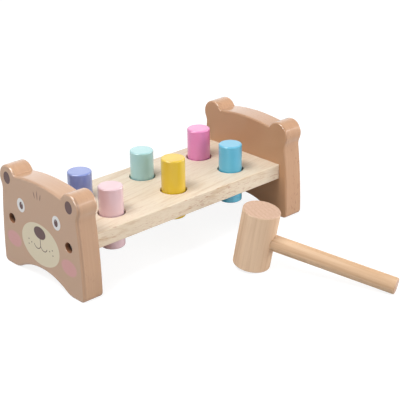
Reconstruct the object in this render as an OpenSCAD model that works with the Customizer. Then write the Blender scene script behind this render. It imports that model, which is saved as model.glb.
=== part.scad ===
// Peg pounding bench: a plank held between two end panels sawn as bear heads, six pegs
// gripped by rubber rings in the plank's holes, and a wooden mallet lying in front of it.
// Millimetres, +Z up. The bench runs along X with its face panel at the -X end, and it
// stands on Z = 0. The origin lies under the middle of the box round bench and mallet.

/* [Bench] */
// Length of the bench over the outer faces of its end panels
bench_length = 253; // [208:1:320]
// Thickness of an end panel
panel_t = 20; // [14:0.5:22]
// Width of an end panel, measured where its feet are widest
panel_width = 111; // [104:0.2:134]
// Height of an end panel to the tops of its ears
panel_height = 91; // [76:0.2:110]
// Width of the plank
plank_width = 91; // [80:0.5:98]
// Thickness of the plank
plank_t = 14; // [10:0.5:18]
// Height of the plank's top face above the floor
plank_top = 51.5; // [44:0.5:56]
// Radius of the eased long edges of the plank
plank_edge_r = 0.9; // [0.4:0.1:2]

/* [Bear head outline] */
// Radius of an ear
ear_r = 11.6; // [9:0.2:13]
// How far the outer side of an ear stands in from the panel's widest place
ear_set_in = 1.6; // [0.5:0.1:4]
// How far the middle of the crown lies below the ear tops
crown_drop = 3.4; // [1:0.1:8]
// Radius of the shallow crown between the ears
crown_r = 180; // [110:5:260]
// Radius left by the cutter in the notch between ear and crown
notch_r = 1; // [0.8:0.1:3]
// Radius of the hollow under each ear
waist_r = 12; // [5:0.5:18]
// Radius of the long swelling curve down each flank
flank_r = 500; // [300:10:600]
// Height at which the flank is widest
flank_widest = 4; // [3:0.5:12]
// Radius of the outer corner of a foot
foot_r = 4.6; // [3:0.2:8]
// Width that the arch between the feet would have at the floor
arch_width = 72; // [60:1:78]
// Height of the arch between the feet
arch_height = 10.8; // [7:0.2:16]
// Radius that blends the arch into the sole of a foot
arch_blend_r = 18; // [6:0.5:22]
// Edge rounding all round the face panel
face_panel_edge_r = 2; // [1:0.1:3]
// Edge rounding all round the rear panel
rear_panel_edge_r = 1.6; // [0.8:0.1:3]

/* [Screws] */
// Distance of a screw's axis from the plank's long edge
screw_from_edge = 6.2; // [5:0.1:10]
// Diameter of a screw's shank
screw_d = 4; // [3:0.1:5]
// Length of a screw under its head
screw_length = 36; // [28:1:44]
// Diameter of a screw's head
screw_head_d = 7.8; // [6:0.1:9.4]
// Height of a screw's head
screw_head_h = 2.8; // [2:0.1:4]
// Gap round a head in the counterbore that sinks it
counterbore_gap = 0.6; // [0.3:0.05:1.5]
// Depth of the counterbore below the panel's outer face
counterbore_depth = 7; // [5:0.5:9]
// Width of one slot of the cross recess in a head
recess_w = 1.1; // [0.8:0.1:1.4]
// Length of one slot of the cross recess
recess_l = 4.4; // [3:0.1:5]
// Depth of the cross recess
recess_depth = 1.5; // [1:0.1:1.8]

/* [Pegs] */
// Diameter of a peg
peg_d = 21; // [17:0.5:25.5]
// Length of a peg
peg_length = 54; // [48:0.5:60]
// Radius of a peg's eased ends
peg_edge_r = 1.3; // [0.6:0.1:2.5]
// Distance between neighbouring columns of pegs along the bench
column_pitch = 68.5; // [56:0.5:70]
// Distance between the two rows of pegs
row_pitch = 42; // [38:0.5:46]
// Gap between a peg and the wall of its hole
peg_gap = 1.25; // [0.8:0.05:1.6]
// Chamfer round the rims of a peg hole
hole_chamfer = 0.4; // [0.2:0.1:1]
// How far the periwinkle peg stands above the plank
periwinkle_stand = 24.5; // [8:0.5:36]
// How far the light pink peg stands above the plank
light_pink_stand = 24; // [8:0.5:36]
// How far the mint peg stands above the plank
mint_stand = 25; // [8:0.5:36]
// How far the yellow peg stands above the plank
yellow_stand = 29.5; // [8:0.5:36]
// How far the magenta peg stands above the plank
magenta_stand = 28; // [8:0.5:36]
// How far the blue peg stands above the plank
blue_stand = 24; // [8:0.5:36]

/* [Grip rings] */
// Thickness of a rubber ring's round section
ring_section_d = 2.6; // [2.4:0.1:3.4]
// Running gap between a ring and its peg
ring_gap = 0.05; // [0.02:0.01:0.1]
// Clearance of a ring in its groove
groove_gap = 0.1; // [0.05:0.01:0.2]

/* [Mallet] */
// Diameter of the mallet's head
head_d = 32; // [26:0.5:38]
// Length of the mallet's head
head_length = 52; // [42:0.5:62]
// Diameter of the handle
handle_d = 14; // [11:0.5:17]
// Length of the handle from the middle of the head to its far end
handle_reach = 122.5; // [100:0.5:150]
// Depth to which the handle is set into the head
handle_set = 24; // [14:0.5:25]
// Radius of the eased ends of head and handle
mallet_edge_r = 1; // [0.5:0.1:2]
// Gap for glue between the handle and its bore
glue_gap = 0.05; // [0.02:0.01:0.1]
// Place of the head along the bench, from the bench's middle
head_along = 18.5; // [-60:0.5:60]
// Distance of the head's middle in front of the panels' sides
head_in_front = 48.25; // [38:0.05:80]
// Heading of the handle, in degrees from the bench's length
handle_heading = -67; // [-100:1:-30]

/* [Hidden] */
// Facets round a whole circle and round a ring's thin section
$fn = 96;
section_facets = 32;
// Chords across a rounded edge
edge_steps = 4;
// Chords along the arcs of a bear head's half outline, from the arch round to the crown
arch_steps = 10;
blend_steps = 4;
foot_steps = 6;
flank_steps = 6;
waist_steps = 6;
ear_steps = 18;
notch_steps = 4;
crown_steps = 7;
// Overrun of a cut past the face that it opens
overrun = 1;
// Play of a screw's shank in its bores
screw_play = 0.05;
// Width of a screw's blunt tip as a share of its shank
screw_tip_share = 0.125;

PEGS = ["periwinkle", "light_pink", "mint", "yellow", "magenta", "blue"];
peg_stand = [periwinkle_stand, light_pink_stand, mint_stand, yellow_stand, magenta_stand, blue_stand];
// Column and row of each peg as shares of the two pitches
peg_column_share = [-1, -1, 0, 0, 1, 1];
peg_row_share = [0.5, -0.5, 0.5, -0.5, 0.5, -0.5];
peg_colour = ["#9aa8dc", "#e8c6cf", "#b4e0d6", "#ecc84e", "#dd8fc0", "#7fc3e3"];

plank_length = bench_length - 2 * panel_t;
plank_mid = plank_top - plank_t / 2;
peg_r = peg_d / 2;
hole_r = peg_r + peg_gap;
ring_r = peg_r + ring_gap + ring_section_d / 2;
head_r = head_d / 2;
handle_r = handle_d / 2;

bench_back = panel_width / 2;
counterbore_r = screw_head_d / 2 + counterbore_gap;

// The mallet rests on the lower rim of its head and on the far end of its handle.
mallet_tilt = atan((head_length / 2 - handle_r) / (handle_reach - head_r));
head_rise = (head_length / 2 - mallet_edge_r) * cos(mallet_tilt)
    + (head_r - mallet_edge_r) * sin(mallet_tilt) + mallet_edge_r;

// Front of the mallet: the far end of the handle, a smaller rod grown by the edge radius.
handle_dir_y = cos(mallet_tilt) * sin(handle_heading);
mallet_front = bench_back + head_in_front - handle_dir_y * (handle_reach - mallet_edge_r)
    + (handle_r - mallet_edge_r) * sqrt(1 - pow(handle_dir_y, 2)) + mallet_edge_r;
bench_shift = (mallet_front - bench_back) / 2;

// Points on an arc about c, from angle a0 up to but not at angle a1
function arc(c, r, a0, a1, steps) =
    [for (i = [0 : steps - 1]) let (a = a0 + (a1 - a0) * i / steps) c + r * [cos(a), sin(a)]];

// Angle of the line from a to b
function bearing(a, b) = atan2(b[1] - a[1], b[0] - a[0]);

// Point at distance ra from a and rb from b, on the left of the line from a to b
function meet(a, ra, b, rb) =
    let (d = norm(b - a), u = (b - a) / d)
    let (along = (d * d + ra * ra - rb * rb) / (2 * d))
    a + along * u + sqrt(ra * ra - along * along) * [-u[1], u[0]];

// Centres of the arcs that make the right half of a bear head
arch_r = (pow(arch_width / 2, 2) + pow(arch_height, 2)) / (2 * arch_height);
arch_c = [0, arch_height - arch_r];
blend_c = [sqrt(pow(arch_r + arch_blend_r, 2) - pow(arch_blend_r - arch_c[1], 2)), arch_blend_r];
flank_c = [panel_width / 2 - flank_r, flank_widest];
foot_c = [flank_c[0] + sqrt(pow(flank_r - foot_r, 2) - pow(foot_r - flank_widest, 2)), foot_r];
ear_c = [panel_width / 2 - ear_set_in - ear_r, panel_height - ear_r];
waist_c = meet(ear_c, ear_r + waist_r, flank_c, flank_r + waist_r);
crown_top = panel_height - crown_drop;
crown_c = [0, crown_top - crown_r];
notch_c = meet(crown_c, crown_r + notch_r, ear_c, ear_r + notch_r);

// Right half of the outline, drawn in by inset, from the top of the arch round to the crown.
// Neighbouring arcs touch, so the line has no corner, and the hollow ones turn the other way.
// Drawing the line in makes the swelling arcs tighter and the hollow ones wider. The flat sole
// of a foot runs from below the blend's centre to below the foot's.
function low_half(inset) = concat(
    arc(arch_c, arch_r + inset, 90, bearing(arch_c, blend_c), arch_steps),
    arc(blend_c, arch_blend_r - inset, bearing(blend_c, arch_c), -90, blend_steps),
    [[blend_c[0], inset]],
    arc(foot_c, foot_r - inset, -90, bearing(flank_c, foot_c), foot_steps),
    arc(flank_c, flank_r - inset, bearing(flank_c, foot_c), bearing(flank_c, waist_c), flank_steps)
);
function high_half(inset) = concat(
    arc(waist_c, waist_r + inset, 360 + bearing(waist_c, flank_c), bearing(waist_c, ear_c), waist_steps),
    arc(ear_c, ear_r - inset, bearing(ear_c, waist_c), bearing(ear_c, notch_c), ear_steps),
    arc(notch_c, notch_r + inset, bearing(notch_c, ear_c), bearing(notch_c, crown_c), notch_steps),
    arc(crown_c, crown_r - inset, bearing(crown_c, notch_c), 90, crown_steps),
    [[0, crown_top - inset]]
);
half_points = len(low_half(0)) + len(high_half(0));
ring_points = 2 * half_points - 2;
waist_point = len(low_half(0));

// Whole outline, with the left half as the mirror image of the right one
function bear_head(inset) =
    let (half = concat(low_half(inset), high_half(inset)))
    concat(half, [for (i = [half_points - 2 : -1 : 1]) [-half[i][0], half[i][1]]]);

// Face of the board in triangles: above the waists a fan from the top of the arch, and
// below them one fan from each waist, so that no triangle spans the arch or a hollow
function board_face(first) =
    let (left_waist = ring_points - waist_point)
    [for (t = concat(
        [for (i = [waist_point : left_waist - 1]) [0, i, i + 1]],
        [for (i = [0 : waist_point - 2]) [waist_point, i, i + 1]],
        [for (i = [left_waist + 1 : ring_points - 1]) [left_waist, i, (i + 1) % ring_points]]
    )) [first + t[0], first + t[1], first + t[2]]];

// Board of thickness t sawn as a bear head, with all its edges rounded
module bear_head_board(t, edge_r) {
    // Each level is an inset and a height: up one rounded edge and down into the other
    level = concat(
        [for (i = [0 : edge_steps]) let (a = 90 * i / edge_steps) edge_r * [1 - sin(a), 1 - cos(a)]],
        [for (i = [0 : edge_steps]) let (a = 90 * i / edge_steps)
            [edge_r * (1 - cos(a)), t - edge_r + edge_r * sin(a)]]
    );
    top = len(level) - 1;
    points = [for (l = level) for (p = bear_head(l[0])) [p[0], p[1], l[1]]];
    sides = [for (k = [0 : top - 1]) for (i = [0 : ring_points - 1])
        let (here = k * ring_points, next = (i + 1) % ring_points)
        [here + i, here + ring_points + i, here + ring_points + next, here + next]];
    upper = [for (f = board_face(top * ring_points)) [f[2], f[1], f[0]]];
    polyhedron(points, concat(board_face(0), sides, upper));
}

// Rod with eased ends standing on Z = 0
module eased_rod(r, length, edge_r) {
    low_edge = [for (i = [0 : edge_steps]) let (a = 90 * i / edge_steps)
        [r - edge_r + edge_r * sin(a), edge_r - edge_r * cos(a)]];
    high_edge = [for (i = [0 : edge_steps]) let (a = 90 * i / edge_steps)
        [r - edge_r + edge_r * cos(a), length - edge_r + edge_r * sin(a)]];
    rotate_extrude() polygon(concat([[0, 0]], low_edge, high_edge, [[0, length]]));
}

// Middle of the bench's footprint
module on_bench() {
    translate([0, bench_shift, 0]) children();
}

// Frame of one end: X across the bench, Y up and Z from the outer face inwards
module at_face_end() {
    on_bench() translate([-bench_length / 2, 0, 0]) rotate([90, 0, 90]) children();
}

module at_rear_end() {
    mirror([1, 0, 0]) at_face_end() children();
}

// The two screws of one end, in that end's frame
module at_screws() {
    for (side = [-1, 1]) translate([side * (plank_width / 2 - screw_from_edge), plank_mid, 0]) children();
}

// Axis of one peg, at the height of the plank's top face
module at_peg(i) {
    on_bench() translate([peg_column_share[i] * column_pitch, peg_row_share[i] * row_pitch, plank_top])
        children();
}

// Frame of the mallet as it rests: Z along its head, X along its handle
module at_mallet() {
    on_bench() translate([head_along, -bench_back - head_in_front, head_rise])
        rotate([0, 0, handle_heading]) rotate([0, mallet_tilt, 0]) children();
}

// Board sawn as a bear head, rounded all round, then drilled and counterbored for two screws
module end_panel(edge_r) {
    difference() {
        bear_head_board(panel_t, edge_r);
        at_screws() {
            translate([0, 0, -overrun]) cylinder(h = panel_t + 2 * overrun, r = screw_d / 2 + screw_play);
            translate([0, 0, -overrun]) cylinder(h = counterbore_depth + overrun, r = counterbore_r);
        }
    }
}

module face_panel() {
    color("#c9a586") at_face_end() end_panel(face_panel_edge_r);
}

module rear_panel() {
    color("#c9a586") at_rear_end() end_panel(rear_panel_edge_r);
}

// Section of the plank, across the bench, with its four long edges eased
module plank_section() {
    corner = [plank_width / 2 - plank_edge_r, plank_t / 2 - plank_edge_r];
    places = [[1, 1], [-1, 1], [-1, -1], [1, -1]];
    polygon([for (q = [0 : 3]) for (i = [0 : edge_steps])
        let (a = 90 * q + 90 * i / edge_steps, c = [corner[0] * places[q][0], corner[1] * places[q][1]])
            c + plank_edge_r * [cos(a), sin(a)]]);
}

// Hole for a peg: a bore with chamfered rims and a groove half way down for the grip ring
module peg_hole() {
    translate([0, 0, -plank_t - overrun]) cylinder(h = plank_t + 2 * overrun, r = hole_r);
    for (rim = [0, -plank_t]) translate([0, 0, rim]) mirror([0, 0, rim < 0 ? 1 : 0])
        translate([0, 0, -hole_chamfer])
            cylinder(h = 2 * hole_chamfer, r1 = hole_r, r2 = hole_r + 2 * hole_chamfer);
    translate([0, 0, -plank_t / 2]) rotate_extrude() translate([ring_r, 0])
        circle(r = ring_section_d / 2 + groove_gap, $fn = section_facets);
}

module plank() {
    color("#e9d3b2") difference() {
        on_bench() translate([-plank_length / 2, 0, plank_mid])
            rotate([90, 0, 90]) linear_extrude(plank_length) plank_section();
        for (i = [0 : len(PEGS) - 1]) at_peg(i) peg_hole();
        at_face_end() at_screws() screw_bore();
        at_rear_end() at_screws() screw_bore();
    }
}

// Bore that a screw's thread has cut in the end grain of the plank
module screw_bore() {
    depth = counterbore_depth + screw_length + screw_play - panel_t;
    translate([0, 0, panel_t - overrun]) cylinder(h = depth + overrun, r = screw_d / 2 + screw_play);
}

// Pan-head wood screw with a cross recess, its head seated in the counterbore
module screw() {
    point_h = screw_d;
    difference() {
        translate([0, 0, counterbore_depth - screw_head_h]) cylinder(h = screw_head_h, d = screw_head_d);
        for (turn = [0, 90]) rotate([0, 0, turn])
            translate([-recess_l / 2, -recess_w / 2, counterbore_depth - screw_head_h - overrun])
                cube([recess_l, recess_w, recess_depth + overrun]);
    }
    translate([0, 0, counterbore_depth]) cylinder(h = screw_length - point_h, d = screw_d);
    translate([0, 0, counterbore_depth + screw_length - point_h])
        cylinder(h = point_h, d1 = screw_d, d2 = screw_tip_share * screw_d);
}

module face_panel_screws() {
    color("#8d9094") at_face_end() at_screws() screw();
}

module rear_panel_screws() {
    color("#8d9094") at_rear_end() at_screws() screw();
}

module peg(i) {
    color(peg_colour[i]) at_peg(i) translate([0, 0, peg_stand[i] - peg_length])
        eased_rod(peg_r, peg_length, peg_edge_r);
}

// Rubber ring that grips a peg half way through the plank
module ring(i) {
    color("#3a3532") at_peg(i) translate([0, 0, -plank_t / 2])
        rotate_extrude() translate([ring_r, 0]) circle(d = ring_section_d, $fn = section_facets);
}

module mallet_head() {
    color("#ddb892") at_mallet() difference() {
        translate([0, 0, -head_length / 2]) eased_rod(head_r, head_length, mallet_edge_r);
        translate([head_r - handle_set, 0, 0]) rotate([0, 90, 0])
            cylinder(h = handle_set + overrun, r = handle_r + glue_gap);
    }
}

module mallet_handle() {
    color("#dcb286") at_mallet() translate([head_r - handle_set, 0, 0]) rotate([0, 90, 0])
        eased_rod(handle_r, handle_reach - head_r + handle_set, mallet_edge_r);
}

face_panel();
rear_panel();
plank();
face_panel_screws();
rear_panel_screws();
for (i = [0 : len(PEGS) - 1]) peg(i);
for (i = [0 : len(PEGS) - 1]) ring(i);
mallet_head();
mallet_handle();
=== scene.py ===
# Peg pounding bench: a bare plank screwed between two painted boards sawn as bear heads, six
# coloured pegs that are driven down through it, and the mallet lying on the floor in front.
# The scene is in metres. The bench runs along X, its face panel at -X, and stands on Z = 0.
import cmath
import math

import bmesh
import bpy
from mathutils import Matrix, Vector


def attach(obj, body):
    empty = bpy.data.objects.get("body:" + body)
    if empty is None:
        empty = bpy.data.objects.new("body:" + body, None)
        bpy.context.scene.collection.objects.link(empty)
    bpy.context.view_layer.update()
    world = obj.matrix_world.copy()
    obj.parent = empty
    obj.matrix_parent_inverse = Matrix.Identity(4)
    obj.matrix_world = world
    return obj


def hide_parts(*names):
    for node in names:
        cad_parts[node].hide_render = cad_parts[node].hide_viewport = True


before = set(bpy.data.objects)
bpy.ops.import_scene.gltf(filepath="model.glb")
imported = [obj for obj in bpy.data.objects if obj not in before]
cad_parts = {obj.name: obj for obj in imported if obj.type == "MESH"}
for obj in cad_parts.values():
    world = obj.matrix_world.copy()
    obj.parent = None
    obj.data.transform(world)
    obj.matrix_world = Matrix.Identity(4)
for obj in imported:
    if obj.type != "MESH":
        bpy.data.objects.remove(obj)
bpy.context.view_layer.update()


# End panels: two solid boards sawn along one pattern as a bear's head with round ears, feet
# and an arch between them, rounded over on a router table and sprayed with beige paint.
# Each is drilled and counterbored for the two screws that hold the plank.
bench_y, bench_end = 0.080945, 0.1265
panel_t, panel_w, panel_h = 0.020, 0.111, 0.091
ear_r, ear_inset, notch_r = 0.0116, 0.0016, 0.001
crown_r, crown_h = 0.180, 0.0876
waist_r, flank_r, flank_z = 0.012, 0.500, 0.004
foot_r, toe_r = 0.0046, 0.018
arch_h, arch_reach = 0.0108, 0.036
arch_r = (arch_reach ** 2 + arch_h ** 2) / (2 * arch_h)
screw_z, screw_y = 0.0445, 0.0393
bore_r, bore_depth, bore_ease, pilot_r = 0.0045, 0.007, 0.0003, 0.00205
overrun, touching = 0.001, 1e-6


def meeting(a, a_r, b, b_r):
    """The point at distance a_r from a and b_r from b, on the left of the way from a to b."""
    way = (b - a) / abs(b - a)
    along = (abs(b - a) ** 2 + a_r ** 2 - b_r ** 2) / (2 * abs(b - a))
    return a + way * complex(along, math.sqrt(a_r ** 2 - along ** 2))


# Centres of the pattern's arcs, as distance from the middle line plus height times 1j
arch = complex(0, arch_h - arch_r)
toe = complex(math.sqrt((arch_r + toe_r) ** 2 - (toe_r - arch.imag) ** 2), toe_r)
flank = complex(panel_w / 2 - flank_r, flank_z)
foot_y = flank.real + math.sqrt((flank_r - foot_r) ** 2 - (foot_r - flank_z) ** 2)
foot = complex(foot_y, foot_r)
ear = complex(panel_w / 2 - ear_inset - ear_r, panel_h - ear_r)
waist = meeting(ear, ear_r + waist_r, flank, flank_r + waist_r)
crown = complex(0, crown_h - crown_r)
notch = meeting(crown, crown_r + notch_r, ear, ear_r + notch_r)


def hold(piece):
    """Makes piece the only selected object."""
    bpy.ops.object.select_all(action="DESELECT")
    piece.select_set(True)
    bpy.context.view_layer.objects.active = piece


def start_edit(piece):
    """Opens piece alone in edit mode."""
    hold(piece)
    bpy.ops.object.mode_set(mode="EDIT")


def first_point(at):
    """A new piece of one point, selected in edit mode, from which its outline is drawn."""
    bpy.ops.object.select_all(action="DESELECT")
    bpy.ops.mesh.primitive_plane_add(size=0.01, location=(0, 0, 0))
    piece = bpy.context.object
    bpy.ops.object.mode_set(mode="EDIT")
    bpy.ops.mesh.select_mode(type="VERT")
    bpy.ops.mesh.select_all(action="SELECT")
    bpy.ops.mesh.merge(type="CENTER")
    bpy.ops.transform.translate(value=at)
    return piece


def pick_edges(piece, wanted):
    """In edit mode, leaves selected only the edges with both ends where wanted says."""
    bpy.ops.mesh.select_mode(type="EDGE")
    bpy.ops.mesh.select_all(action="DESELECT")
    shape = bmesh.from_edit_mesh(piece.data)
    for edge in shape.edges:
        edge.select_set(all(wanted(v.co) for v in edge.verts))
    bmesh.update_edit_mesh(piece.data)


def cut_away(piece, tool):
    """Takes the tool's shape out of the piece, as a drill or a cutter does."""
    cut = piece.modifiers.new("cut", "BOOLEAN")
    cut.object, cut.operation, cut.solver = tool, "DIFFERENCE", "EXACT"
    bpy.context.view_layer.objects.active = piece
    bpy.ops.object.modifier_apply(modifier=cut.name)
    bpy.data.objects.remove(tool)


def drill(at, radius, start, end, sides=64):
    """A round cutter along X from start to end, standing for one drilled hole."""
    bpy.ops.object.select_all(action="DESELECT")
    bpy.ops.mesh.primitive_cylinder_add(vertices=sides, radius=radius, depth=abs(end - start),
                                        location=((start + end) / 2, *at),
                                        rotation=(0, math.pi / 2, 0))
    bit = bpy.context.object
    bpy.ops.object.transform_apply(location=True, rotation=True, scale=False)
    return bit


def settle(piece):
    """Puts the piece's place in its mesh and shades its roundings smooth, its flats flat."""
    hold(piece)
    bpy.ops.object.transform_apply(location=True, rotation=True, scale=True)
    bpy.ops.object.shade_smooth_by_angle(angle=math.radians(32))
    even = piece.modifiers.new("even", "WEIGHTED_NORMAL")
    even.keep_sharp = True
    bpy.ops.object.modifier_apply(modifier=even.name)


def sawn_panel(name, outer, inner, rounding):
    """The board between X = outer and X = inner, its rims rounded, drilled for its screws."""
    board = first_point((outer, bench_y, crown_h))
    board.name = name
    pencil = complex(0, crown_h)
    for centre, towards, hollow, steps in (
        (crown, notch, False, 16), (notch, ear, True, 8), (ear, waist, False, 44),
        (waist, flank, True, 12), (flank, foot, False, 16), (foot, foot - 1j, False, 14),
        (toe, arch, False, 8), (arch, arch + 1j, True, 16),
    ):
        if centre == toe:
            sole = toe.real - pencil.real
            bpy.ops.mesh.extrude_region_move(TRANSFORM_OT_translate={"value": (0, sole, 0)})
            pencil = complex(toe.real, 0)
        swing = cmath.phase((towards - centre) / (pencil - centre))
        if hollow != (swing > 0):
            swing += 2 * math.pi if hollow else -2 * math.pi
        bpy.ops.mesh.spin(steps=steps, angle=swing, axis=(-1, 0, 0),
                          center=(outer, bench_y + centre.real, centre.imag))
        pencil = centre + (pencil - centre) * cmath.rect(1, swing)
    bpy.ops.mesh.select_all(action="SELECT")
    bpy.ops.mesh.duplicate()
    bpy.ops.transform.resize(value=(1, -1, 1), center_override=(outer, bench_y, 0))
    bpy.ops.mesh.select_all(action="SELECT")
    bpy.ops.mesh.remove_doubles(threshold=0.00002)
    bpy.ops.mesh.edge_face_add()
    bpy.ops.mesh.extrude_region_move(TRANSFORM_OT_translate={"value": (inner - outer, 0, 0)})
    bpy.ops.mesh.select_all(action="SELECT")
    bpy.ops.mesh.normals_make_consistent(inside=False)
    for flat in (outer, inner):
        pick_edges(board, lambda p: abs(p.x - flat) < touching)
        bpy.ops.mesh.bevel(offset=rounding, segments=6, affect="EDGES")
    bpy.ops.object.mode_set(mode="OBJECT")
    inwards = 1 if inner > outer else -1
    for side in (-1, 1):
        at = (bench_y + side * screw_y, screw_z)
        cut_away(board, drill(at, bore_r, outer - overrun * inwards, outer + bore_depth * inwards))
        cut_away(board, drill(at, pilot_r, outer, inner + overrun * inwards, 32))
    start_edit(board)
    pick_edges(board, lambda p: abs(p.x - outer) < touching and abs(
        math.hypot(abs(p.y - bench_y) - screw_y, p.z - screw_z) - bore_r) < 0.00005)
    bpy.ops.mesh.bevel(offset=bore_ease, segments=3, affect="EDGES")
    bpy.ops.object.mode_set(mode="OBJECT")
    settle(board)
    return board


face_panel = sawn_panel("bear_head_face_board", -bench_end, panel_t - bench_end, 0.002)
rear_panel = sawn_panel("bear_head_rear_board", bench_end, bench_end - panel_t, 0.0016)


def tint(red, green, blue):
    """The linear colour of a paint chip that is read as red, green and blue from 0 to 255."""
    return tuple(c / 12.92 if c <= 0.04045 else ((c + 0.055) / 1.055) ** 2.4
                 for c in (red / 255, green / 255, blue / 255)) + (1,)


class Wire:
    """A socket in a material's nodes. Sums on it add Math nodes, and node() adds any other."""

    def __init__(self, socket):
        self.socket = socket

    def node(self, kind, settings, sockets, out=0):
        """A new node with these settings, then the values or wires of its sockets."""
        tree = self.socket.id_data
        made = tree.nodes.new("ShaderNode" + kind)
        for name, setting in settings.items():
            setattr(made, name, setting)
        for place, value in sockets.items():
            if isinstance(value, Wire):
                tree.links.new(value.socket, made.inputs[place])
            else:
                made.inputs[place].default_value = value
        return Wire(made.outputs[out])

    def maths(self, operation, *values):
        return self.node("Math", {"operation": operation}, dict(enumerate(values)))

    def __add__(self, other):
        return self.maths("ADD", self, other)

    def __sub__(self, other):
        return self.maths("SUBTRACT", self, other)

    def __rsub__(self, other):
        return self.maths("SUBTRACT", other, self)

    def __mul__(self, other):
        return self.maths("MULTIPLY", self, other)

    def __truediv__(self, other):
        return self.maths("DIVIDE", self, other)

    def __pow__(self, other):
        return self.maths("POWER", self, other)

    __radd__, __rmul__ = __add__, __mul__

    def size(self):
        return self.maths("ABSOLUTE", self)

    def fade(self, low, high):
        """0 at low, 1 at high, and a soft step between them."""
        return self.node("MapRange", {"interpolation_type": "SMOOTHSTEP"},
                         {0: self, 1: low, 2: high})

    def axes(self):
        """The parts of a place or a direction along X, Y and Z."""
        return [self.node("SeparateXYZ", {}, {0: self}, axis) for axis in "XYZ"]

    def clouds(self, stretch, detail=2, roughness=0.5):
        """Noise with stretch = its waves to the metre along X, Y and Z."""
        place = self.node("VectorMath", {"operation": "MULTIPLY"}, {0: self, 1: stretch})
        return self.node("TexNoise", {}, {"Vector": place, "Scale": 1.0, "Detail": detail,
                                          "Roughness": roughness})

    def blend(self, under, over):
        """The colour under where this is 0 and over where it is 1."""
        return self.node("Mix", {"data_type": "RGBA"}, {0: self, 6: under, 7: over}, 2)


def finish(name, **numbers):
    """A new material: its shader with these plain numbers set, and the place on the piece."""
    made = bpy.data.materials.new(name)
    made.use_nodes = True
    shader = made.node_tree.nodes["Principled BSDF"]
    for socket, number in numbers.items():
        shader.inputs[socket.replace("_", " ")].default_value = number
    return made, shader, Wire(made.node_tree.nodes.new("ShaderNodeTexCoord").outputs["Object"])


def feed(shader, **wires):
    """Links wires to the shader's sockets, and a height to its normal through a Bump node."""
    tree = shader.id_data
    for socket, wire in wires.items():
        if socket == "Height":
            wire = wire.node("Bump", {}, {"Height": wire, "Distance": 1.0})
            socket = "Normal"
        tree.links.new(wire.socket, shader.inputs[socket.replace("_", " ")])


def flat_side(x, side):
    """1 on a board's flat at X = side and before it, 0 from the start of what lies beyond."""
    return 1 - x.fade(side + 0.0001, side + 0.0003)


def panel_paint(name, ground, patch, screw_side, pores, sheen):
    """Beige lacquer paint under a clear coat, its ground colour with darker or lighter patches.

    The wood's pores and lines show through on the sawn edge, pores saying how much. The bores
    start at X = screw_side, and their walls get painted shade, brown and darker with depth.
    """
    made, shader, place = finish(name, Coat_Roughness=0.09, Coat_IOR=1.5, Specular_IOR_Level=sheen)
    x, y, z = place.axes()
    facing_x = place.node("NewGeometry", {}, {}, "Normal").axes()[0]
    edge = 1 - (facing_x * facing_x).fade(0.5, 0.98)
    drift = place.clouds((16, 16, 16))
    lines = place.clouds((700, 22, 22))
    fleck = (place.clouds((1000, 260, 260), 1).fade(0.60, 0.70)
             * place.clouds((150, 30, 30), 1).fade(0.5, 0.62))
    peel = place.clouds((380, 380, 380))
    off = (y - bench_y).size() - screw_y
    from_screw = (off * off + (z - screw_z) * (z - screw_z)) ** 0.5
    bore = 1 - from_screw.fade(bore_r - 0.00002, bore_r + 0.0001)
    deep = (x - screw_side).size().fade(0.0, 0.006)
    colour = drift.fade(0.3, 0.7).blend(ground, patch)
    colour = (lines.fade(0.45, 0.75) * edge * 0.15).blend(colour, tint(206, 168, 134))
    colour = (lines.fade(0.5, 0.25) * edge * 0.1).blend(colour, tint(164, 118, 86))
    colour = (fleck * edge * pores).blend(colour, tint(140, 84, 58))
    # Painted shade in the counterbores: brown at the rim, darker towards the bottom
    colour = bore.blend(colour, deep.blend(tint(146, 94, 56), tint(64, 34, 16)))
    rough = 0.42 + drift * 0.08 + peel * 0.06 + bore * 0.3
    height = peel * 0.000007 + lines * edge * 0.00001
    return made, shader, place, colour, rough, height, bore


# The rear panel's inner side, seen over the plank, has a thinner clear coat
# Painted light: its beige is a little lighter and warmer than the face panel's, for light from the
# plank
paint, shader, place, colour, rough, height, bore = panel_paint(
    "rear_panel_paint", tint(182, 139, 105), tint(190, 146, 111), bench_end, 0.45, 0.15)
inside = flat_side(place.axes()[0], bench_end - panel_t)
feed(shader, Base_Color=colour, Roughness=rough, Height=height,
     Coat_Weight=(1 - bore) * (1 - inside * 0.6))
rear_panel.data.materials.append(paint)
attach(rear_panel, "bench")
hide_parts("rear_panel")


# Printed face: a plain bear's face screen printed on the outer side of the face panel in flat
# matt inks, cream, white, brown and pink, under a thin clear coat. Its two halves are alike.
paint, shader, place, colour, rough, height, bore = panel_paint(
    "face_panel_paint", tint(177, 137, 104), tint(184, 143, 109), -bench_end, 0.2, 0.5)
x, y, z = place.axes()
across = (y - bench_y).size()
outside = flat_side(x, -bench_end)

# Painted shade: a darker line down the rounding of the flanks, stronger higher up
in_from_face = x + bench_end
rim_shade = (in_from_face.fade(0.0006, 0.0014) * (1 - in_from_face.fade(0.0022, 0.0032))
        * across.fade(0.0470, 0.0490))
colour = (rim_shade * (0.35 + z.fade(0.0, 0.05) * 0.35)).blend(colour, tint(150, 113, 85))
# The flat outer side is a lighter, greyer beige: its paint colour with painted sheen in it
colour = outside.blend(colour, tint(187, 152, 125))


def oval(at_y, at_z, wide, high, lean=0, soft=0.00012):
    """A printed oval, 1 inside and 0 outside, its top leaning outwards by lean radians.

    at_y is its distance from the middle line, so one oval prints both sides of the face.
    """
    cos, sin = math.cos(lean), math.sin(lean)
    side = ((across - at_y) * cos - (z - at_z) * sin) / (wide / 2)
    up = ((across - at_y) * sin + (z - at_z) * cos) / (high / 2)
    reach = (side * side + up * up) ** 0.5
    rim = soft / min(wide, high) * 2
    return 1 - reach.fade(1 - rim, 1 + rim)


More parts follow.
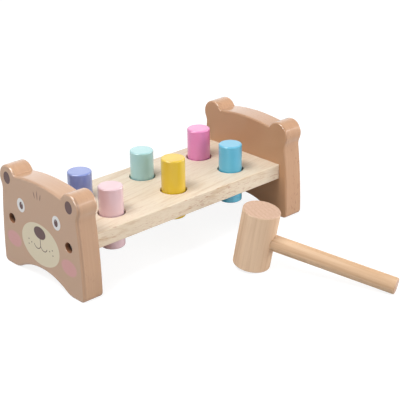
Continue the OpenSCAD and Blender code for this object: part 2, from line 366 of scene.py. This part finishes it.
cream, ink = tint(214, 202, 174), tint(72, 30, 30)
white, rose = tint(222, 221, 220), tint(209, 145, 150)
above_lip = z.fade(0.0318, 0.0322)
muzzle = oval(0, 0.0335, 0.052, 0.037)
nose = oval(0, 0.0440, 0.0160, 0.0110)
lip = (oval(0.0045, 0.0330, 0.0095, 0.0090) * (1 - oval(0.0045, 0.0330, 0.0081, 0.0076))
       * (1 - above_lip))
crease = (1 - across.fade(0.00025, 0.0005)) * above_lip * (1 - z.fade(0.0440, 0.0442))
eye = oval(0.0245, 0.0610, 0.0108, 0.0124)
pupil = oval(0.0240, 0.0608, 0.0050, 0.0066)
glint = oval(0.0232, 0.0627, 0.0009, 0.0011)
cheek = oval(0.0382, 0.0262, 0.0200, 0.0140, soft=0.0012)
inner_ear = oval(0.0424, 0.0800, 0.0092, 0.0108)
tuft = (oval(0, 0.0772, 0.0010, 0.0075, soft=0.0002)
        + oval(0.0042, 0.0764, 0.0010, 0.0055, lean=0.25, soft=0.0002))
whiskers = (oval(0.0125, 0.0318, 0.0012, 0.0012) + oval(0.0163, 0.0338, 0.0012, 0.0012)
            + oval(0.0167, 0.0292, 0.0012, 0.0012))
for mask, over in (
    (muzzle, cream), (nose, ink), (lip + crease, ink), (eye, white), (pupil, ink),
    (glint, white), (cheek * 0.7, rose), (inner_ear, ink), (tuft * 0.8, ink), (whiskers, ink),
):
    colour = (mask * outside * (1 - bore)).blend(colour, over)
feed(shader, Base_Color=colour, Roughness=rough, Height=height,
     Coat_Weight=(1 - bore) * (1 - outside * 0.65))
face_panel.data.materials.append(paint)
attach(face_panel, "bench")
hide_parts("face_panel")


# Plank: one bare, oiled softwood board, planed and sanded, with its long edges eased and six
# holes bored through it. Each hole has a groove half way down that holds a rubber grip ring.
# Four pilot holes in its end grain take the screws.
plank_end, plank_w, plank_t, plank_top = bench_end - panel_t, 0.091, 0.014, 0.0515
plank_z, plank_ease = plank_top - plank_t / 2, 0.0009
peg_places = [(column * 0.0685, bench_y + row * 0.021) for column in (-1, 0, 1) for row in (1, -1)]
hole_r, hole_ease, groove_r, groove_section = 0.01175, 0.0004, 0.01185, 0.0014
screw_tip = 0.08345

bpy.ops.object.select_all(action="DESELECT")
bpy.ops.mesh.primitive_cube_add(size=1, location=(0, bench_y, plank_z),
                                scale=(2 * plank_end, plank_w, plank_t))
plank = bpy.context.object
plank.name = "bored_plank"
bpy.ops.object.transform_apply(location=True, rotation=False, scale=True)
start_edit(plank)
bpy.ops.mesh.select_mode(type="EDGE")
bpy.ops.mesh.select_all(action="DESELECT")
shape = bmesh.from_edit_mesh(plank.data)
for edge in shape.edges:
    edge.select_set(edge.calc_length() > plank_end)
bmesh.update_edit_mesh(plank.data)
bpy.ops.mesh.bevel(offset=plank_ease, segments=5, affect="EDGES")
bpy.ops.object.mode_set(mode="OBJECT")

# The cutter that shapes one hole, drawn as half its section from the axis out, with an eased
# rim, the groove and an eased rim again, then turned round the axis. A point of the section is
# its radius plus its height times 1j, and each is reached by a line or by an arc round a centre.
half, past, rim_r = plank_t / 2, plank_t / 2 + overrun, hole_r + hole_ease
groove_lip = complex(hole_r, math.sqrt(groove_section ** 2 - (groove_r - hole_r) ** 2))
upper_rim, lower_rim = complex(rim_r, half - hole_ease), complex(rim_r, hole_ease - half)
cutter = first_point((0, 0, past))
pencil = complex(0, past)
for point, centre, steps in (
    (complex(rim_r, past), None, 1), (complex(rim_r, half), None, 1),
    (upper_rim - hole_ease, upper_rim, 4), (groove_lip, None, 1),
    (groove_lip.conjugate(), groove_r, 16), (lower_rim - hole_ease, None, 1),
    (complex(rim_r, -half), lower_rim, 4), (complex(rim_r, -past), None, 1),
    (complex(0, -past), None, 1),
):
    if centre is None:
        way = point - pencil
        bpy.ops.mesh.extrude_region_move(
            TRANSFORM_OT_translate={"value": (way.real, 0, way.imag)})
    else:
        swing = cmath.phase((point - centre) / (pencil - centre))
        if centre == groove_r:
            swing -= 2 * math.pi
        bpy.ops.mesh.spin(steps=steps, angle=swing, axis=(0, 1, 0),
                          center=(centre.real, 0, centre.imag))
    pencil = point
bpy.ops.mesh.select_all(action="SELECT")
bpy.ops.mesh.spin(steps=96, angle=2 * math.pi, axis=(0, 0, 1), center=(0, 0, 0))
bpy.ops.mesh.select_all(action="SELECT")
bpy.ops.mesh.remove_doubles(threshold=0.000002)
bpy.ops.mesh.normals_make_consistent(inside=False)
bpy.ops.object.mode_set(mode="OBJECT")


def copy_of(piece, name, at):
    """Another object with its own copy of the piece's mesh, moved to this place."""
    made = bpy.data.objects.new(name, piece.data.copy())
    bpy.context.collection.objects.link(made)
    made.location = at
    bpy.context.view_layer.update()
    return made


for peg_x, peg_y in peg_places:
    cut_away(plank, copy_of(cutter, "hole_cutter", (peg_x, peg_y, plank_z)))
bpy.data.objects.remove(cutter)
for end in (-1, 1):
    for side in (-1, 1):
        at = (bench_y + side * screw_y, screw_z)
        cut_away(plank, drill(at, pilot_r, end * (plank_end + overrun), end * screw_tip, 32))
settle(plank)

# Fine grain runs a little askew down the board, and its edge shows more of the flecks
wood, shader, place = finish("bare_plank_wood", IOR=1.45, Specular_IOR_Level=0.4)
facing_z = place.node("NewGeometry", {}, {}, "Normal").axes()[2]
edge = 1 - (facing_z * facing_z).fade(0.2, 0.8)
run = place.node("Mapping", {"vector_type": "TEXTURE"},
                 {"Vector": place, "Rotation": (0, 0.05, 0.13)})
drift = run.clouds((6, 34, 34))
grain = run.clouds((10, 300, 300), 3, 0.55)
hair = run.clouds((26, 1300, 1300), 3, 0.6)
fleck = (run.clouds((130, 1200, 1200), 1).fade(0.58, 0.70)
         * run.clouds((20, 150, 150), 1).fade(0.42, 0.56))
colour = drift.fade(0.3, 0.7).blend(tint(223, 209, 189), tint(217, 201, 179))
colour = (grain.fade(0.48, 0.70) * (0.5 + edge * 0.5)).blend(colour, tint(198, 173, 144))
colour = (grain.fade(0.46, 0.26) * 0.3).blend(colour, tint(228, 217, 200))
colour = (hair.fade(0.5, 0.75) * (0.3 + edge * 0.2)).blend(colour, tint(190, 160, 128))
# Painted light: the edges are a little lighter than the top
colour = (edge * 0.2).blend(colour, tint(236, 214, 186))
colour = (fleck * (0.2 + edge * 0.36)).blend(colour, tint(174, 114, 84))
feed(shader, Base_Color=colour, Roughness=0.5 + hair * 0.12,
     Height=hair * 0.00003 - fleck * 0.00004)
plank.data.materials.append(wood)
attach(plank, "bench")
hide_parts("plank")


# Screws: pan-head wood screws of zinc-plated steel, two through each end panel into the end
# grain of the plank. Their heads sit deep in the counterbores.
zinc, shader, place = finish("zinc_plated_steel", Metallic=1.0)
dull = place.clouds((900, 900, 900), 3)
colour = dull.fade(0.3, 0.7).blend(tint(116, 116, 119), tint(150, 150, 153))
feed(shader, Base_Color=colour, Roughness=0.28 + dull * 0.14, Height=dull * 0.00001)
for name in ("face_panel_screws", "rear_panel_screws"):
    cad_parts[name].material_slots[0].material = zinc


# Grip rings: moulded black rubber rings, one in the groove of each peg hole, that grip the
# peg all round so that it stays at the height to which it is driven.
rubber, shader, place = finish("ring_rubber")
bloom = place.clouds((700, 700, 700), 3)
colour = bloom.fade(0.3, 0.75).blend(tint(40, 38, 37), tint(62, 59, 57))
feed(shader, Base_Color=colour, Roughness=0.6 + bloom * 0.2, Height=bloom * 0.00001)
for name in ("periwinkle", "light_pink", "mint", "yellow", "magenta", "blue"):
    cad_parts[name + "_ring"].material_slots[0].material = rubber


# Pegs: six beech dowels with eased ends, tumbled in glossy lacquer paint, one colour each.
# They stand at different heights in the plank, held only by the grip rings.
peg_r, peg_length, peg_ease = 0.0105, 0.054, 0.0013
peg_stands = (0.0245, 0.024, 0.025, 0.0295, 0.028, 0.024)
peg_paints = {
    "periwinkle": tint(117, 134, 194), "light_pink": tint(216, 184, 190),
    "mint": tint(160, 203, 204), "yellow": tint(218, 184, 10),
    "magenta": tint(224, 132, 185), "blue": tint(87, 181, 212),
}


def dowel(name, radius, length, ease, sides, steps):
    """A turned piece, upright with its middle on the origin, and the rims of its ends eased."""
    bpy.ops.object.select_all(action="DESELECT")
    bpy.ops.mesh.primitive_cylinder_add(vertices=sides, radius=radius, depth=length,
                                        location=(0, 0, 0))
    piece = bpy.context.object
    piece.name = name
    start_edit(piece)
    for end in (1, -1):
        pick_edges(piece, lambda p: p.z * end > 0.9 * length / 2)
        bpy.ops.mesh.bevel(offset=ease, segments=steps, affect="EDGES")
    bpy.ops.object.mode_set(mode="OBJECT")
    return piece


first_peg = dowel("first_peg", peg_r, peg_length, peg_ease, 96, 6)
for (name, paint), (peg_x, peg_y), stand in zip(peg_paints.items(), peg_places, peg_stands):
    peg = copy_of(first_peg, name + "_painted_peg",
                  (peg_x, peg_y, plank_top + stand - peg_length / 2))
    settle(peg)
    # The opaque yellow is the least glossy of the six
    gloss = 0.75 if name == "yellow" else 1.0
    lacquer, shader, place = finish(name + "_lacquer", Coat_Weight=gloss, Coat_Roughness=0.15,
                                    Coat_IOR=1.5)
    drift = place.clouds((60, 60, 25))
    peel = place.clouds((520, 520, 260))
    grain = place.clouds((1500, 1500, 40))
    deep = tuple(c ** 1.12 for c in paint[:3]) + (1,)
    colour = drift.fade(0.3, 0.7).blend(paint, deep)
    feed(shader, Base_Color=colour, Roughness=0.36 + drift * 0.08 + grain * 0.05,
         Height=peel * 0.000012 + grain * 0.000008)
    peg.data.materials.append(lacquer)
    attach(peg, name + "_peg")
    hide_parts(name + "_peg")
    name + "_paint"
bpy.data.objects.remove(first_peg)


# Mallet: a turned head of bare beech with a bore half way along it, and a dowel glued in the
# bore as its handle. It lies on the rim of its head and the far end of the handle.
head_r, head_length, handle_r, handle_set = 0.016, 0.052, 0.007, 0.024
handle_reach, mallet_ease, glue_gap = 0.1225, 0.001, 0.00005
handle_length = handle_reach - head_r + handle_set
mallet_tilt = math.atan((head_length / 2 - handle_r) / (handle_reach - head_r))
mallet_turn = math.radians(-67)
head_rise = ((head_length / 2 - mallet_ease) * math.cos(mallet_tilt)
             + (head_r - mallet_ease) * math.sin(mallet_tilt) + mallet_ease)
mallet_at = (0.0185, bench_y - 0.10375, head_rise)

head = dowel("turned_mallet_head", head_r, head_length, mallet_ease, 128, 5)
cut_away(head, drill((0, 0), handle_r + glue_gap, head_r - handle_set, head_r + overrun, 96))
handle = dowel("mallet_handle_dowel", handle_r, handle_length, mallet_ease, 96, 5)
handle.matrix_world = (Matrix.Translation((head_r - handle_set + handle_length / 2, 0, 0))
                       @ Matrix.Rotation(math.pi / 2, 4, "Y"))
lie = (Matrix.Translation(mallet_at) @ Matrix.Rotation(mallet_turn, 4, "Z")
       @ Matrix.Rotation(mallet_tilt, 4, "Y"))
for piece in (head, handle):
    piece.matrix_world = lie @ piece.matrix_world
    settle(piece)

# The grain follows each dowel, and the year rings of its sawn ends lie round a heart outside it
heart_a, heart_b, years_scale = 0.03, 0.045, 1500
end_start, end_full = 0.0007, 0.0001
for piece, name, node in (
    (head, "bare_head_wood", "mallet_head"), (handle, "bare_handle_wood", "mallet_handle"),
):
    wood, shader, place = finish(name, IOR=1.45)
    local = place.node("Mapping", {"vector_type": "TEXTURE"},
                       {"Vector": place, "Location": mallet_at,
                        "Rotation": (0, mallet_tilt, mallet_turn)})
    along_handle, side_y, along_head = local.axes()
    if piece == head:
        broad, stretch, fine, speck = (95, 95, 4), (260, 260, 7), (1300, 1300, 30), (2200, 2200, 260)
        light, mid, deep = tint(226, 195, 164), tint(215, 182, 151), tint(192, 154, 121)
        end = along_head.size().fade(head_length / 2 - end_start, head_length / 2 - end_full)
        side_a, side_b = along_handle, side_y
    else:
        broad, stretch, fine, speck = (9, 150, 150), (11, 380, 380), (40, 1500, 1500), (260, 2200, 2200)
        light, mid, deep = tint(219, 186, 152), tint(206, 169, 132), tint(178, 134, 94)
        end = along_handle.fade(handle_reach - end_start, handle_reach - end_full)
        side_a, side_b = side_y, along_head
    band, streak, fibre = local.clouds(broad), local.clouds(stretch), local.clouds(fine, 3, 0.6)
    pore = local.clouds(speck, 1).fade(0.66, 0.75)
    colour = band.fade(0.38, 0.62).blend(light, mid)
    colour = (streak.fade(0.5, 0.75) * 0.5).blend(colour, deep)
    colour = (fibre.fade(0.5, 0.8) * 0.35).blend(colour, deep)
    colour = (pore * 0.2).blend(colour, deep)
    from_heart = ((side_a - heart_a) * (side_a - heart_a)
                  + (side_b - heart_b) * (side_b - heart_b)) ** 0.5
    wander = local.clouds((70, 70, 70)) * 9
    years = from_heart.maths("SINE", from_heart * years_scale + wander)
    sawn = local.clouds((500, 500, 500), 3, 0.6).fade(0.35, 0.7).blend(
        tint(200, 167, 144), tint(190, 156, 132))
    sawn = (years.fade(0.2, 1.0) * 0.2).blend(sawn, tint(172, 134, 106))
    feed(shader, Base_Color=end.blend(colour, sawn), Roughness=0.5 + fibre * 0.12,
         Height=fibre * 0.00003 - pore * 0.00003)
    piece.data.materials.append(wood)
    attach(piece, "mallet")
    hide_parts(node)


# Studio: a white floor that keeps a soft shadow, an even white surround, one soft box overhead
# and three lower ones round the bench. Two narrow strips only make the glints on the rims.
def ray_kinds(tree):
    """Which rays come from the camera, and which from the gloss or glass of a piece."""
    path = tree.nodes.new("ShaderNodeLightPath")
    glossy, through = Wire(path.outputs["Is Glossy Ray"]), Wire(path.outputs["Is Transmission Ray"])
    return Wire(path.outputs["Is Camera Ray"]), glossy.maths("MAXIMUM", glossy, through)


bpy.ops.object.select_all(action="DESELECT")
bpy.ops.mesh.primitive_plane_add(size=8, location=(0, 0, -0.00005))
floor = bpy.context.object
floor.name = "white_floor"
paper = bpy.data.materials.new("white_floor_paper")
paper.use_nodes = True
tree = paper.node_tree
tree.nodes.remove(tree.nodes["Principled BSDF"])
seen, mirrored = ray_kinds(tree)


def matt(grey):
    """A matt sheet of this grey."""
    return seen.node("BsdfDiffuse", {}, {"Color": (grey, grey, grey, 1)})


# The camera sees the paper's own white with a light shadow on it, gloss mirrors a bright sheet,
# and what the paper throws back under the bench is kept low
glow = seen.node("Emission", {}, {"Color": (1, 1, 1, 1), "Strength": 0.86})
to_camera = seen.node("AddShader", {}, {0: glow, 1: matt(0.24)})
to_others = seen.node("MixShader", {}, {0: mirrored, 1: matt(0.5), 2: matt(0.8)})
surface = seen.node("MixShader", {}, {0: seen, 1: to_others, 2: to_camera})
tree.links.new(surface.socket, tree.nodes["Material Output"].inputs["Surface"])
floor.data.materials.append(paper)

world = bpy.data.worlds.new("white_surround")
bpy.context.scene.world = world
world.use_nodes = True
tree = world.node_tree
seen, mirrored = ray_kinds(tree)
white_for = seen.maths("MAXIMUM", seen, mirrored)
tree.nodes["Background"].inputs["Color"].default_value = (1, 1, 1, 1)
tree.links.new((0.4 + white_for * 0.6).socket, tree.nodes["Background"].inputs["Strength"])

lit_point = Vector((0, bench_y, 0.03))
for name, at, wide, high, lean, power, glints_only in (
    ("soft_box_overhead", (-0.5, 0.1, 1.15), 0.6, 0.6, 0, 11.8, False),
    ("soft_box_front", (0.3, -1.7, 0.6), 1.0, 1.0, 0, 12.0, False),
    ("soft_box_right", (1.4, -0.6, 0.35), 0.6, 0.6, 0, 12.0, False),
    ("soft_box_back", (1.0, 1.3, 0.75), 1.2, 1.2, 0, 1.8, False),
    ("strip_left", (-0.99, 0.15, 0.56), 0.14, 1.35, 0.81, 17.0, True),
    ("strip_front", (0.93, -0.95, 0.61), 0.9, 0.08, 0, 1.4, True),
):
    lamp = bpy.data.lights.new(name, "AREA")
    lamp.shape, lamp.size, lamp.size_y, lamp.energy = "RECTANGLE", wide, high, power
    lamp_stand = bpy.data.objects.new(name, lamp)
    bpy.context.collection.objects.link(lamp_stand)
    lamp_stand.location = at
    aim = (lit_point - Vector(at)).to_track_quat("-Z", "Y").to_matrix()
    lamp_stand.rotation_euler = (aim @ Matrix.Rotation(lean, 3, "Z")).to_euler()
    lamp_stand.visible_diffuse = not glints_only


# Camera: a long lens, in front of the bench and to its left, looking down at about 24 degrees.
turn, rise, roll = math.radians(-42.475), math.radians(23.706), math.radians(-0.701)
camera_at = (-0.57617, -0.603125, 0.42649)
back = Vector((math.sin(turn) * math.cos(rise), -math.cos(turn) * math.cos(rise), math.sin(rise)))
level = Vector((math.cos(turn), math.sin(turn), 0))
upright = back.cross(level)
right = math.cos(roll) * level + math.sin(roll) * upright
up = math.cos(roll) * upright - math.sin(roll) * level
lens = bpy.data.cameras.new("long_lens")
lens.lens, lens.sensor_width = 99.28, 36
camera = bpy.data.objects.new("camera", lens)
bpy.context.collection.objects.link(camera)
axes = Matrix((right, up, back)).transposed()
camera.matrix_world = Matrix.Translation(camera_at) @ axes.to_4x4()
bpy.context.scene.camera = camera
bpy.context.scene.view_settings.view_transform = "Standard"
